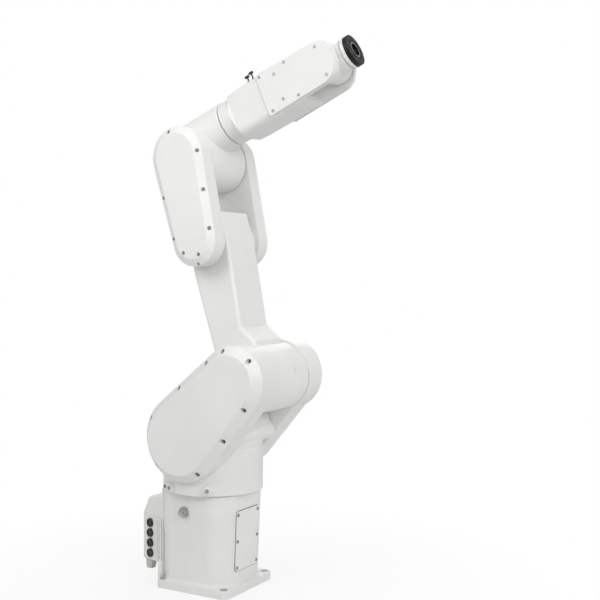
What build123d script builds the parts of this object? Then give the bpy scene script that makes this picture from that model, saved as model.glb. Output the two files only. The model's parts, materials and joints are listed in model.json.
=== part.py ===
"""Six-axis industrial robot arm, floor mounted.

Millimetres. +X is the front of the arm, +Z is up and -Y is the side with the belt covers.
The origin is the centre of the foot's underside, on the turning axis.
"""

from build123d import *
from math import asin, atan2, cos, pi, radians, sin
import os

# Joint layout: shoulder axis ahead of the turning axis, link lengths, rest angles
shoulder_x = 150.0
shoulder_z = 544.0
lower_arm_length = 575.0
forearm_offset = 58.0
forearm_length = 420.0
flange_reach = 75.0
lower_arm_lean = 17.6
forearm_rise = 22.7

# Clearances between pieces that move or seat on each other
seat_gap = 0.3
overrun = 5.0

# Foot plate
foot_side = 220.0
foot_thickness = 20.0
foot_corner_radius = 17.0
foot_edge_round = 2.0
foot_hole_spacing = 188.0
foot_hole_radius = 6.5

# Base column
base_height = 249.0
base_foot_side = 192.0
base_foot_corner = 56.0
base_top_side = 208.0
base_top_corner = 60.0
base_foot_rear_depth = 3.0
base_top_rear_depth = 14.0
base_foot_rear_radius = 30.0
base_top_rear_radius = 54.0
base_flare = 8.0

# Connector housing behind the base
housing_reach = 195.0
housing_inset = 55.0
housing_front_half_width = 92.0
housing_rear_half_width = 55.0
housing_top = 226.0
housing_rear_top = 210.0
housing_eaves = 172.0
housing_bottom = 52.0
housing_side_inset = 18.0
housing_rear_inset = 12.0
housing_corner_round = 12.0

# Connector panel and the plugs on it
panel_front_reach = 125.0
panel_height = 114.0
panel_thickness = 3.0
panel_margin = 3.0
panel_corner_radius = 5.0
connector_count = 4
connector_aside = 11.0
connector_radius = 11.5
connector_pitch = 27.5
connector_length = 12.0
connector_bore_radius = 7.6
connector_bore_depth = 8.0
connector_flange_radius = 13.3
connector_flange_thickness = 3.0
power_socket_width = 30.0
power_socket_depth = 26.0
power_socket_height = 27.0
power_socket_radius = 5.0
power_socket_side = 46.0
power_socket_recess = 36.0

# Fitting on the near face of the base
fitting_x = -20.0
fitting_z = 203.0
fitting_radius = 14.0
fitting_length = 4.0
fitting_hex_radius = 11.5
fitting_hex_length = 8.0
fitting_nose_radius = 6.5
fitting_nose_length = 6.0

# Access cover on the front of the base
access_cover_width = 100.0
access_cover_bottom = 54.0
access_cover_top = 206.0
access_cover_thickness = 2.0
access_cover_corner = 8.0

# Seal ring under the turret
turn_groove = 2.0
turn_ring_outer_radius = 98.0
turn_ring_inner_radius = 80.0

# Turret body: a drum, a saddle under the lower arm and a nose between the cheeks
turret_radius = 126.0
turret_rear_shift = 8.0
turret_drum_top = 368.0
turret_edge_round = 4.0
saddle_radius = 98.0
saddle_rear_z = 430.0
saddle_front_z = 447.0
nose_x = 110.0
nose_z = 400.0
nose_radius = 24.0
nose_root_x = 60.0
nose_root_low_z = 372.0
nose_root_high_z = 420.0
nose_root_radius = 20.0
turret_half_width = 79.0

# Shoulder cheeks: a large end over the turning axis, a small end at the shoulder axis
shoulder_low_x = -1.0
shoulder_low_z = 395.0
near_shoulder_low_radius = 110.0
near_shoulder_high_radius = 88.0
near_shoulder_outer = 134.0
far_shoulder_low_radius = 102.0
far_shoulder_high_radius = 84.0
far_shoulder_disc_radius = 91.0
far_shoulder_outer = 142.0
shoulder_hub_radius = 62.0

# Bevelled belt covers on the shoulder
near_cover_rim = 5.0
near_cover_rise = 23.0
near_cover_bevel = 21.0
far_cover_rim = 2.0
far_cover_rise = 7.0
far_cover_bevel = 12.0
cover_edge_round = 3.0
cover_screw_inset = 12.0
cover_pocket_radius = 6.0
cover_pocket_seat = 3.0

# Stops on the turret's lower rim: a plate with two screws and a round buffer
stop_plate_width = 44.0
stop_plate_height = 22.0
stop_plate_depth = 6.0
stop_plate_round = 4.0
stop_lift = 3.0
stop_plate_turn = -116.0
buffer_radius = 8.5
buffer_depth = 6.0
buffer_lift = 15.0
buffer_turn = -63.0

# Lower arm link
drum_radius = 87.0
drum_half_width = 78.0
link_rear = 82.0
link_half_width = 64.0
link_flare_x = 45.0
link_flare_y = 86.0
link_waist_x = 15.0
link_waist_y = 132.0
link_front_x = 42.6
link_front_y = 348.0
link_front_drop = 150.0
link_peak_x = 19.0
link_peak_drop = 140.0
link_saddle_x = -38.0
link_saddle_drop = 176.0
link_rear_drop = 206.0
link_edge_round = 9.0

# Elbow cheeks at the top of the lower arm
elbow_cheek_inner = 78.0
elbow_cheek_outer = 110.0
elbow_high_radius = 76.0
elbow_high_back = 2.0
elbow_high_rise = 6.0
elbow_low_radius = 64.0
elbow_low_drop = 210.0
elbow_low_back = 16.0
elbow_foot_radius = 50.0
elbow_hub_radius = 46.0
near_elbow_rim = 10.0
near_elbow_rise = 11.0
near_elbow_bevel = 18.0
far_elbow_rim = 10.0
far_elbow_rise = 11.0
far_elbow_bevel = 18.0
elbow_screw_inset = 10.0
elbow_low_screw_radius = 40.0
elbow_pocket_radius = 5.0

# Elbow housing and the root of the forearm
elbow_drum_radius = 72.0
elbow_half_width = 75.0
root_radius = 60.0
root_rear = 64.0
root_rear_round = 30.0
root_front = 110.0
root_front_round = 3.0
rear_cap_thickness = 5.0
rear_cap_radius = 24.0
roll_ring_radius = 54.0
roll_ring_thickness = 2.6

# Forearm: round at the roll seam, then a rounded box that ends in the wrist fork
forearm_root_radius = 58.0
forearm_neck = 30.0
forearm_step = 10.0
forearm_blend = 30.0
forearm_sag = 4.0
forearm_half_width = 55.0
forearm_half_height = 58.0
forearm_soft_corner = 22.0
forearm_corner = 17.0
wrist_end_radius = 47.0
wrist_end_lift = 2.0
wrist_end_back = 2.0
wrist_chin_radius = 44.0
wrist_chin_drop = 14.0
wrist_chin_back = 6.0
fork_inner = 45.0
fork_reach = 90.0
wrist_hub_radius = 26.0

# Covers on both sides of the forearm
wrist_cover_length = 162.0
wrist_cover_corner = 9.0
wrist_cover_inset = 2.0
wrist_cover_thickness = 2.5
wrist_cover_half_height = 47.0

# Hose fittings on top of the forearm
hose_fitting_start = 220.0
hose_fitting_pitch = 15.5
hose_fitting_side = 38.0
hose_fitting_radius = 6.0
hose_fitting_length = 15.0
hose_fitting_lift = 17.0
hose_stem_radius = 4.5

# Wrist and tool flange
wrist_half_width = 40.0
wrist_drum_radius = 42.0
wrist_nose_radius = 38.0
wrist_nose_length = 51.0
wrist_neck_radius = 34.0
wrist_neck_length = 4.0
collar_radius = 39.5
collar_thickness = 8.5
collar_edge_round = 2.0
flange_radius = 39.0
flange_bolt_circle = 50.0
flange_hole_radius = 2.6
flange_hole_count = 4
flange_hole_depth = 9.0
flange_bore_radius = 15.75
flange_bore_depth = 6.0

# Screws round the belt covers: turns about the high and low ends, places along the straight sides
shoulder_high_turns = (105.0, 44.0, -56.0)
shoulder_low_turns = (-56.0, -135.0, 151.0)
shoulder_rear_shares = (0.38, 0.88)
shoulder_front_shares = (0.42,)
elbow_high_turns = (92.0, -8.0)
elbow_low_turns = (-77.0, -147.0)
elbow_rear_shares = (0.1, 0.6)
elbow_front_shares = (0.09, 0.54)

os.makedirs("parts", exist_ok=True)

lean = radians(lower_arm_lean)
rise = radians(forearm_rise)
elbow_x = shoulder_x - lower_arm_length * sin(lean)
elbow_z = shoulder_z + lower_arm_length * cos(lean)
side_plane = Plane(origin=(0, 0, 0), x_dir=(1, 0, 0), z_dir=(0, -1, 0))
arm_side = Plane(origin=(shoulder_x, 0, shoulder_z), x_dir=(cos(lean), 0, sin(lean)), z_dir=(0, -1, 0))
forearm_side = Plane(origin=(elbow_x, 0, elbow_z), x_dir=(cos(rise), 0, sin(rise)), z_dir=(0, -1, 0))


def forearm_section(reach, lift=forearm_offset):
    """A plane across the forearm at a reach from the elbow, x to the near side, y along the forearm's up."""
    origin = (
        elbow_x + reach * cos(rise) - lift * sin(rise),
        0,
        elbow_z + reach * sin(rise) + lift * cos(rise),
    )
    return Plane(origin=origin, x_dir=(0, -1, 0), z_dir=(cos(rise), 0, sin(rise)))


def capsule(low, low_radius, high, high_radius):
    """A side outline round two circles of unlike size."""
    with BuildSketch(mode=Mode.PRIVATE) as outline:
        with Locations(low):
            Circle(low_radius)
        with Locations(high):
            Circle(high_radius)
        make_hull()
    return outline.sketch


def about(centre, radius, turn):
    """A point on a circle at a turn in degrees."""
    return (centre[0] + radius * cos(radians(turn)), centre[1] + radius * sin(radians(turn)))


def rim_points(low, low_radius, high, high_radius, low_turns, high_turns, rear_shares, front_shares):
    """Screw places on a path round a capsule: about both ends and along its straight sides."""
    along = Vector(high[0] - low[0], high[1] - low[1])
    tilt = asin((low_radius - high_radius) / along.length)
    points = [about(low, low_radius, turn) for turn in low_turns]
    points += [about(high, high_radius, turn) for turn in high_turns]
    heading = atan2(along.Y, along.X)
    for shares, normal in ((rear_shares, heading + pi / 2 - tilt), (front_shares, heading - pi / 2 + tilt)):
        for share in shares:
            radius = low_radius + share * (high_radius - low_radius)
            points.append(
                (
                    low[0] + share * along.X + radius * cos(normal),
                    low[1] + share * along.Y + radius * sin(normal),
                )
            )
    return points


def column_plan(side, rear, front_corner, rear_corner):
    """The base column's plan: a square drawn out to the rear, with unlike corners front and rear."""
    with BuildSketch(mode=Mode.PRIVATE) as plan:
        with Locations((-rear / 2, 0)):
            Rectangle(side + rear, side)
        fillet(plan.vertices().sort_by(Axis.X)[:2], rear_corner)
        fillet(plan.vertices().sort_by(Axis.X)[-2:], front_corner)
    return plan.sketch


# Base
with BuildPart() as base_casting:
    with BuildSketch():
        RectangleRounded(foot_side, foot_side, foot_corner_radius)
    extrude(amount=foot_thickness)
    fillet(base_casting.faces().sort_by(Axis.Z)[-1].edges(), foot_edge_round)
    with BuildSketch(Plane.XY.offset(foot_thickness)):
        add(column_plan(base_foot_side, base_foot_rear_depth, base_foot_corner, base_foot_rear_radius))
    with BuildSketch(Plane.XY.offset(base_height)):
        add(column_plan(base_top_side, base_top_rear_depth, base_top_corner, base_top_rear_radius))
    loft()
    foot_top = base_casting.edges().filter_by(lambda edge: abs(edge.center().Z - foot_thickness) < seat_gap)
    flat_edges = foot_top.filter_by(lambda edge: abs(edge.bounding_box().size.Z) < seat_gap)
    root_reach = base_foot_side / 2 + base_foot_rear_depth + seat_gap
    within = flat_edges.filter_by(lambda edge: abs(edge.center().X) < root_reach)
    column_root = within.filter_by(lambda edge: abs(edge.center().Y) < root_reach)
    fillet(column_root, base_flare)
    with Locations((0, 0, foot_thickness)):
        with GridLocations(foot_hole_spacing, foot_hole_spacing, 2, 2):
            Hole(foot_hole_radius)
base_casting.part.label = "base_casting"
export_step(base_casting.part, "parts/base_casting.step")

slant_x = housing_inset - housing_reach
slant_y = housing_front_half_width - housing_rear_half_width
slant_length = (slant_x**2 + slant_y**2) ** 0.5


def housing_plan(side_inset, rear_inset):
    """The housing's plan, drawn in from its sides and from its rear."""
    with BuildSketch(mode=Mode.PRIVATE) as plan:
        with BuildLine():
            Polyline(
                (-housing_inset, side_inset - housing_front_half_width),
                (rear_inset - housing_reach, side_inset - housing_rear_half_width),
                (rear_inset - housing_reach, housing_rear_half_width - side_inset),
                (-housing_inset, housing_front_half_width - side_inset),
                close=True,
            )
        make_face()
        fillet(plan.vertices().sort_by(Axis.X)[:2], housing_corner_round)
    return plan.sketch


with BuildPart() as connector_housing:
    with BuildSketch(Plane.XY.offset(housing_bottom)):
        add(housing_plan(0, 0))
    extrude(amount=housing_eaves - housing_bottom)
    with BuildSketch(Plane.XY.offset(housing_eaves)):
        add(housing_plan(0, 0))
    with BuildSketch(Plane.XY.offset(housing_top)):
        add(housing_plan(housing_side_inset, housing_rear_inset))
    loft()
    with BuildSketch(side_plane):
        with BuildLine():
            Polyline(
                (-housing_inset, housing_top),
                (-housing_reach, housing_rear_top),
                (-housing_reach, housing_top + overrun),
                (-housing_inset, housing_top + overrun),
                close=True,
            )
        make_face()
    extrude(amount=housing_front_half_width, both=True, mode=Mode.SUBTRACT)
    add(base_casting.part, mode=Mode.SUBTRACT)
connector_housing.part.label = "connector_housing"
export_step(connector_housing.part, "parts/connector_housing.step")

panel_length = housing_reach - panel_front_reach
panel_along = slant_length - housing_corner_round - panel_margin - panel_length / 2
panel_plane = Plane(
    origin=(
        -housing_inset + panel_along * slant_x / slant_length,
        -housing_front_half_width + panel_along * slant_y / slant_length,
        housing_bottom + panel_margin + panel_height / 2,
    ),
    x_dir=(-slant_x / slant_length, -slant_y / slant_length, 0),
    z_dir=(-slant_y / slant_length, slant_x / slant_length, 0),
)
with BuildPart() as connector_panel:
    with BuildSketch(panel_plane):
        RectangleRounded(panel_length, panel_height, panel_corner_radius)
    extrude(amount=panel_thickness)
connector_panel.part.label = "connector_panel"
export_step(connector_panel.part, "parts/connector_panel.step")

connector_tops = (connector_count - 1) * connector_pitch / 2
for number in range(connector_count):
    place = (-connector_aside, connector_tops - number * connector_pitch)
    with BuildPart() as signal_connector:
        with BuildSketch(panel_plane.offset(panel_thickness)):
            with Locations(place):
                Circle(connector_flange_radius)
        extrude(amount=connector_flange_thickness)
        with BuildSketch(panel_plane.offset(panel_thickness)):
            with Locations(place):
                Circle(connector_radius)
        extrude(amount=connector_length)
        with BuildSketch(panel_plane.offset(panel_thickness + connector_length)):
            with Locations(place):
                Circle(connector_bore_radius)
        extrude(amount=-connector_bore_depth, mode=Mode.SUBTRACT)
    signal_connector.part.label = f"signal_connector_{number + 1}"
    export_step(signal_connector.part, f"parts/signal_connector_{number + 1}.step")

with BuildPart() as power_socket:
    with BuildSketch(Plane.XY.offset(housing_bottom)):
        with Locations((power_socket_recess - housing_reach, -power_socket_side)):
            RectangleRounded(power_socket_width, power_socket_depth, power_socket_radius)
    extrude(amount=-power_socket_height)
power_socket.part.label = "power_socket"
export_step(power_socket.part, "parts/power_socket.step")

fitting_plane = Plane(origin=(fitting_x, -base_foot_side / 2, fitting_z), x_dir=(1, 0, 0), z_dir=(0, -1, 0))
fitting_root = (base_top_side - base_foot_side) / 2
with BuildPart() as side_air_fitting:
    with BuildSketch(fitting_plane):
        Circle(fitting_radius)
    extrude(amount=fitting_root + fitting_length)
    with BuildSketch(fitting_plane.offset(fitting_root + fitting_length)):
        RegularPolygon(fitting_hex_radius, 6)
    extrude(amount=fitting_hex_length)
    with BuildSketch(fitting_plane.offset(fitting_root + fitting_length + fitting_hex_length)):
        Circle(fitting_nose_radius)
    extrude(amount=fitting_nose_length)
    add(base_casting.part, mode=Mode.SUBTRACT)
side_air_fitting.part.label = "side_air_fitting"
export_step(side_air_fitting.part, "parts/side_air_fitting.step")

with BuildPart() as front_access_cover:
    with BuildSketch(Plane.XY.offset(foot_thickness)):
        RectangleRounded(
            base_foot_side + 2 * access_cover_thickness,
            base_foot_side + 2 * access_cover_thickness,
            base_foot_corner + access_cover_thickness,
        )
    with BuildSketch(Plane.XY.offset(base_height)):
        RectangleRounded(
            base_top_side + 2 * access_cover_thickness,
            base_top_side + 2 * access_cover_thickness,
            base_top_corner + access_cover_thickness,
        )
    loft()
    with BuildSketch(Plane.YZ.offset(base_foot_corner)):
        with Locations((0, (access_cover_bottom + access_cover_top) / 2)):
            RectangleRounded(
                access_cover_width, access_cover_top - access_cover_bottom, access_cover_corner
            )
    extrude(amount=base_top_side / 2, mode=Mode.INTERSECT)
    add(base_casting.part, mode=Mode.SUBTRACT)
front_access_cover.part.label = "front_access_cover"
export_step(front_access_cover.part, "parts/front_access_cover.step")

with BuildPart() as turn_seal_ring:
    with BuildSketch(Plane.XY.offset(base_height)):
        Circle(turn_ring_outer_radius)
        Circle(turn_ring_inner_radius, mode=Mode.SUBTRACT)
    extrude(amount=turn_groove - seat_gap)
turn_seal_ring.part.label = "turn_seal_ring"
export_step(turn_seal_ring.part, "parts/turn_seal_ring.step")

# Turret
turret_bottom = base_height + turn_groove
shoulder_low = (shoulder_low_x, shoulder_low_z)
shoulder_high = (shoulder_x, shoulder_z)
with BuildPart() as turret_body:
    with BuildSketch(Plane.XY.offset(turret_bottom)):
        Circle(turret_radius)
        with Locations((-turret_rear_shift, 0)):
            Circle(turret_radius)
        make_hull()
    extrude(amount=turret_drum_top - turret_bottom)
    fillet(turret_body.faces().sort_by(Axis.Z)[-1].edges(), turret_edge_round)
    with BuildSketch(side_plane):
        with Locations(shoulder_low):
            Circle(saddle_radius)
        with BuildLine():
            Polyline(
                (shoulder_low_x - saddle_radius, saddle_rear_z),
                (shoulder_low_x + saddle_radius, saddle_front_z),
                (shoulder_low_x + saddle_radius, shoulder_low_z + saddle_radius),
                (shoulder_low_x - saddle_radius, shoulder_low_z + saddle_radius),
                close=True,
            )
        make_face(mode=Mode.SUBTRACT)
    extrude(amount=turret_half_width, both=True)
    with BuildSketch(side_plane):
        with Locations((nose_x, nose_z)):
            Circle(nose_radius)
        with Locations((nose_root_x, nose_root_low_z), (nose_root_x, nose_root_high_z)):
            Circle(nose_root_radius)
        make_hull()
    extrude(amount=turret_half_width, both=True)
turret_body.part.label = "turret_body"
export_step(turret_body.part, "parts/turret_body.step")

shoulder_sides = (
    (1, "near", near_shoulder_low_radius, near_shoulder_high_radius, near_shoulder_outer),
    (-1, "far", far_shoulder_low_radius, far_shoulder_high_radius, far_shoulder_outer),
)
for side, name, low_radius, high_radius, outer in shoulder_sides:
    inner = turret_half_width + seat_gap
    rim = near_cover_rim if side == 1 else far_cover_rim
    rise_up = near_cover_rise if side == 1 else far_cover_rise
    bevel = near_cover_bevel if side == 1 else far_cover_bevel
    with BuildPart() as shoulder_cheek:
        with BuildSketch(side_plane.offset(side * inner)):
            add(capsule(shoulder_low, low_radius, shoulder_high, high_radius))
            if side == -1:
                with Locations(shoulder_high):
                    Circle(far_shoulder_disc_radius)
        extrude(amount=side * (outer - inner))
        with BuildSketch(side_plane.offset(side * inner)):
            with Locations(shoulder_high):
                Circle(shoulder_hub_radius)
        extrude(amount=-side * (inner - drum_half_width - seat_gap))
        add(turret_body.part, mode=Mode.SUBTRACT)
    shoulder_cheek.part.label = f"{name}_shoulder_cheek"
    export_step(shoulder_cheek.part, f"parts/{name}_shoulder_cheek.step")

    outer_plane = side_plane.offset(side * outer)
    with BuildPart() as shoulder_cover:
        with BuildSketch(outer_plane):
            add(capsule(shoulder_low, low_radius, shoulder_high, high_radius))
        extrude(amount=side * rim)
        with BuildSketch(side_plane.offset(side * (outer + rim))):
            add(capsule(shoulder_low, low_radius, shoulder_high, high_radius))
        with BuildSketch(side_plane.offset(side * (outer + rim + rise_up))):
            add(capsule(shoulder_low, low_radius - bevel, shoulder_high, high_radius - bevel))
        loft(ruled=True)
        outer_face = shoulder_cover.faces().sort_by(Axis.Y)[0 if side == 1 else -1]
        fillet(outer_face.edges(), cover_edge_round)
        with BuildSketch(side_plane.offset(side * (outer + cover_pocket_seat))):
            places = rim_points(
                shoulder_low,
                low_radius - cover_screw_inset,
                shoulder_high,
                high_radius - cover_screw_inset,
                shoulder_low_turns,
                shoulder_high_turns,
                shoulder_rear_shares,
                shoulder_front_shares,
            )
            with Locations(*places):
                Circle(cover_pocket_radius)
        extrude(amount=side * (rim + rise_up), mode=Mode.SUBTRACT)
    shoulder_cover.part.label = f"{name}_shoulder_cover"
    export_step(shoulder_cover.part, f"parts/{name}_shoulder_cover.step")


def rim_plane(turn, lift):
    """A plane on the turret's rim at a turn about the turning axis, facing outward."""
    outward = (cos(radians(turn)), sin(radians(turn)), 0)
    centre = (outward[0] * turret_radius, outward[1] * turret_radius, turret_bottom + lift)
    return Plane(origin=centre, x_dir=(-outward[1], outward[0], 0), z_dir=outward)


stop_sink = turret_radius - (turret_radius**2 - stop_plate_width**2 / 4) ** 0.5 + turret_edge_round
with BuildPart() as rear_stop_lug:
    with BuildSketch(rim_plane(stop_plate_turn, stop_lift + stop_plate_height / 2).offset(-stop_sink)):
        RectangleRounded(stop_plate_width, stop_plate_height, stop_plate_round)
    extrude(amount=stop_sink + turret_rear_shift / 2 + stop_plate_depth)
    add(turret_body.part, mode=Mode.SUBTRACT)
rear_stop_lug.part.label = "rear_stop_lug"
export_step(rear_stop_lug.part, "parts/rear_stop_lug.step")

with BuildPart() as front_stop_lug:
    with BuildSketch(rim_plane(buffer_turn, buffer_lift).offset(-stop_sink)):
        Circle(buffer_radius)
    extrude(amount=stop_sink + buffer_depth)
    add(turret_body.part, mode=Mode.SUBTRACT)
front_stop_lug.part.label = "front_stop_lug"
export_step(front_stop_lug.part, "parts/front_stop_lug.step")

# Lower arm
with BuildPart() as lower_arm_link:
    with BuildSketch(arm_side):
        with BuildLine():
            Polyline(
                (-link_rear, 0),
                (-link_rear, lower_arm_length - link_rear_drop),
                (link_saddle_x, lower_arm_length - link_saddle_drop),
                (link_peak_x, lower_arm_length - link_peak_drop),
                (link_front_x, lower_arm_length - link_front_drop),
                (link_front_x, link_front_y),
                (link_waist_x, link_waist_y),
                (link_flare_x, link_flare_y),
                (link_flare_x, 0),
                close=True,
            )
        make_face()
    extrude(amount=link_half_width, both=True)
    side_faces = lower_arm_link.faces().sort_by(Axis.Y)
    fillet(side_faces[0].edges() + side_faces[-1].edges(), link_edge_round)
    with BuildSketch(arm_side.offset(-drum_half_width)):
        Circle(drum_radius)
    extrude(amount=2 * drum_half_width)
lower_arm_link.part.label = "lower_arm_link"
export_step(lower_arm_link.part, "parts/lower_arm_link.step")

elbow_high = (-elbow_high_back, lower_arm_length + elbow_high_rise)
elbow_low = (-elbow_low_back, lower_arm_length - elbow_low_drop)
for side, name in ((1, "near"), (-1, "far")):
    rim = near_elbow_rim if side == 1 else far_elbow_rim
    rise_up = near_elbow_rise if side == 1 else far_elbow_rise
    bevel = near_elbow_bevel if side == 1 else far_elbow_bevel
    inner_plane = arm_side.offset(side * elbow_cheek_inner)
    with BuildPart() as elbow_cheek:
        with BuildSketch(inner_plane):
            add(capsule(elbow_low, elbow_low_radius, elbow_high, elbow_high_radius))
        extrude(amount=side * (elbow_cheek_outer - elbow_cheek_inner))
        with BuildSketch(inner_plane):
            with Locations(elbow_low):
                Circle(elbow_foot_radius)
        extrude(amount=-side * (elbow_cheek_inner - link_half_width))
        with BuildSketch(inner_plane):
            with Locations((0, lower_arm_length)):
                Circle(elbow_hub_radius)
        extrude(amount=-side * (elbow_cheek_inner - elbow_half_width - seat_gap))
    elbow_cheek.part.label = f"{name}_elbow_cheek"
    export_step(elbow_cheek.part, f"parts/{name}_elbow_cheek.step")

    with BuildPart() as elbow_cover:
        with BuildSketch(arm_side.offset(side * elbow_cheek_outer)):
            add(capsule(elbow_low, elbow_low_radius, elbow_high, elbow_high_radius))
        extrude(amount=side * rim)
        with BuildSketch(arm_side.offset(side * (elbow_cheek_outer + rim))):
            add(capsule(elbow_low, elbow_low_radius, elbow_high, elbow_high_radius))
        with BuildSketch(arm_side.offset(side * (elbow_cheek_outer + rim + rise_up))):
            add(capsule(elbow_low, elbow_low_radius - bevel, elbow_high, elbow_high_radius - bevel))
        loft(ruled=True)
        outer_face = elbow_cover.faces().sort_by(Axis.Y)[0 if side == 1 else -1]
        fillet(outer_face.edges(), cover_edge_round)
        with BuildSketch(arm_side.offset(side * (elbow_cheek_outer + rim))):
            places = rim_points(
                elbow_low,
                elbow_low_radius - elbow_screw_inset,
                elbow_high,
                elbow_high_radius - elbow_screw_inset,
                (),
                elbow_high_turns,
                elbow_rear_shares,
                elbow_front_shares,
            )
            places += [about(elbow_low, elbow_low_screw_radius, turn) for turn in elbow_low_turns]
            with Locations(*places):
                Circle(elbow_pocket_radius)
        extrude(amount=side * rise_up, mode=Mode.SUBTRACT)
    elbow_cover.part.label = f"{name}_elbow_cover"
    export_step(elbow_cover.part, f"parts/{name}_elbow_cover.step")

# Elbow housing, which turns between the elbow cheeks
with BuildPart() as elbow_housing:
    with BuildSketch(forearm_section(-root_rear)):
        Circle(root_radius)
    extrude(amount=root_rear + root_front)
    tube_rims = elbow_housing.edges().filter_by(GeomType.CIRCLE).sort_by(Axis.X)
    fillet(tube_rims[0], root_rear_round)
    tube_front = elbow_housing.faces().filter_by(GeomType.PLANE).sort_by(Axis.X)[-1]
    fillet(tube_front.edges(), root_front_round)
    with BuildSketch(forearm_side.offset(-elbow_half_width)):
        Circle(elbow_drum_radius)
    extrude(amount=2 * elbow_half_width)
elbow_housing.part.label = "elbow_housing"
export_step(elbow_housing.part, "parts/elbow_housing.step")

with BuildPart() as elbow_rear_cap:
    with BuildSketch(forearm_section(-root_rear - rear_cap_thickness)):
        Circle(rear_cap_radius)
    extrude(amount=rear_cap_thickness)
elbow_rear_cap.part.label = "elbow_rear_cap"
export_step(elbow_rear_cap.part, "parts/elbow_rear_cap.step")

with BuildPart() as roll_seal_ring:
    with BuildSketch(forearm_section(root_front)):
        Circle(roll_ring_radius)
    extrude(amount=roll_ring_thickness)
roll_seal_ring.part.label = "roll_seal_ring"
export_step(roll_seal_ring.part, "parts/roll_seal_ring.step")

# Forearm
forearm_start = root_front + roll_ring_thickness + seat_gap
box_lift = forearm_offset - forearm_sag
box_width = 2 * forearm_half_width
box_height = 2 * forearm_half_height
wrist_centre = (forearm_length, forearm_offset)
wrist_top = (forearm_length - wrist_end_back, forearm_offset + wrist_end_lift)
wrist_chin = (forearm_length - wrist_chin_back, forearm_offset - wrist_chin_drop)
box_end = forearm_length - fork_reach
box_start = forearm_start + forearm_neck + forearm_step
box_full = box_start + forearm_blend
with BuildPart() as forearm_casting:
    with BuildSketch(forearm_section(box_end, box_lift)):
        RectangleRounded(box_width, box_height, forearm_corner)
    extrude(amount=fork_reach + wrist_end_radius)
    with BuildSketch(forearm_side.offset(-forearm_half_width - overrun)):
        with Locations(wrist_top):
            Circle(wrist_end_radius)
        with Locations(wrist_chin):
            Circle(wrist_chin_radius)
        for up in (1, -1):
            with Locations((box_end - overrun, box_lift + up * (forearm_half_height - forearm_corner))):
                Circle(forearm_corner)
        make_hull()
    extrude(amount=box_width + 2 * overrun, mode=Mode.INTERSECT)
    with BuildSketch(forearm_section(box_full, box_lift)):
        RectangleRounded(box_width, box_height, forearm_corner)
    extrude(amount=box_end - box_full)
    with BuildSketch(forearm_section(box_start, box_lift)):
        RectangleRounded(box_width, box_height, forearm_soft_corner)
    with BuildSketch(forearm_section(box_full, box_lift)):
        RectangleRounded(box_width, box_height, forearm_corner)
    loft(ruled=True)
    with BuildSketch(forearm_section(forearm_start)):
        RectangleRounded(2 * forearm_root_radius, 2 * forearm_root_radius, forearm_root_radius - seat_gap)
    extrude(amount=forearm_neck)
    with BuildSketch(forearm_section(forearm_start + forearm_neck)):
        RectangleRounded(2 * forearm_root_radius, 2 * forearm_root_radius, forearm_root_radius - seat_gap)
    with BuildSketch(forearm_section(box_start, box_lift)):
        RectangleRounded(box_width, box_height, forearm_soft_corner)
    loft(ruled=True)
    with BuildSketch(forearm_side.offset(-fork_inner)):
        with Locations(wrist_centre):
            Circle(fork_reach)
        with Locations((forearm_length + fork_reach, forearm_offset)):
            Rectangle(2 * fork_reach, 2 * fork_reach)
    extrude(amount=2 * fork_inner, mode=Mode.SUBTRACT)
    for side in (1, -1):
        with BuildSketch(forearm_side.offset(side * fork_inner)):
            with Locations(wrist_centre):
                Circle(wrist_hub_radius)
        extrude(amount=-side * (fork_inner - wrist_half_width - seat_gap))
forearm_casting.part.label = "forearm_casting"
export_step(forearm_casting.part, "parts/forearm_casting.step")

for side, name in ((1, "near"), (-1, "far")):
    with BuildPart() as wrist_cover:
        with BuildSketch(forearm_side.offset(side * forearm_half_width)):
            with Locations(wrist_top):
                Circle(wrist_end_radius - wrist_cover_inset)
            with Locations(wrist_chin):
                Circle(wrist_chin_radius - wrist_cover_inset)
            for lift in (box_lift - wrist_cover_half_height, box_lift + wrist_cover_half_height):
                with Locations((forearm_length - wrist_cover_length, lift)):
                    Circle(wrist_cover_corner)
            make_hull()
        extrude(amount=side * wrist_cover_thickness)
    wrist_cover.part.label = f"{name}_wrist_cover"
    export_step(wrist_cover.part, f"parts/{name}_wrist_cover.step")

box_top = box_lift + forearm_half_height
for number in range(2):
    reach = hose_fitting_start + number * hose_fitting_pitch
    with BuildPart() as hose_fitting:
        with BuildSketch(forearm_section(reach, box_top + hose_fitting_lift)):
            with Locations((hose_fitting_side, 0)):
                Circle(hose_fitting_radius)
        extrude(amount=-hose_fitting_length)
        stem_plane = Plane(
            origin=forearm_section(reach - hose_fitting_length / 2, box_top).origin,
            x_dir=(0, -1, 0),
            z_dir=(-sin(rise), 0, cos(rise)),
        )
        with BuildSketch(stem_plane.offset(-overrun)):
            with Locations((hose_fitting_side, 0)):
                Circle(hose_stem_radius)
        extrude(amount=overrun + hose_fitting_lift)
        add(forearm_casting.part, mode=Mode.SUBTRACT)
    hose_fitting.part.label = f"hose_fitting_{number + 1}"
    export_step(hose_fitting.part, f"parts/hose_fitting_{number + 1}.step")

# Wrist
collar_start = wrist_nose_length + wrist_neck_length
with BuildPart() as wrist_body:
    with BuildSketch(forearm_side.offset(-wrist_half_width)):
        with Locations(wrist_centre):
            Circle(wrist_drum_radius)
    extrude(amount=2 * wrist_half_width)
    with BuildSketch(forearm_section(forearm_length)):
        Circle(wrist_nose_radius)
    extrude(amount=wrist_nose_length)
    with BuildSketch(forearm_section(forearm_length)):
        Circle(wrist_neck_radius)
    extrude(amount=collar_start)
wrist_body.part.label = "wrist_body"
export_step(wrist_body.part, "parts/wrist_body.step")

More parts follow.
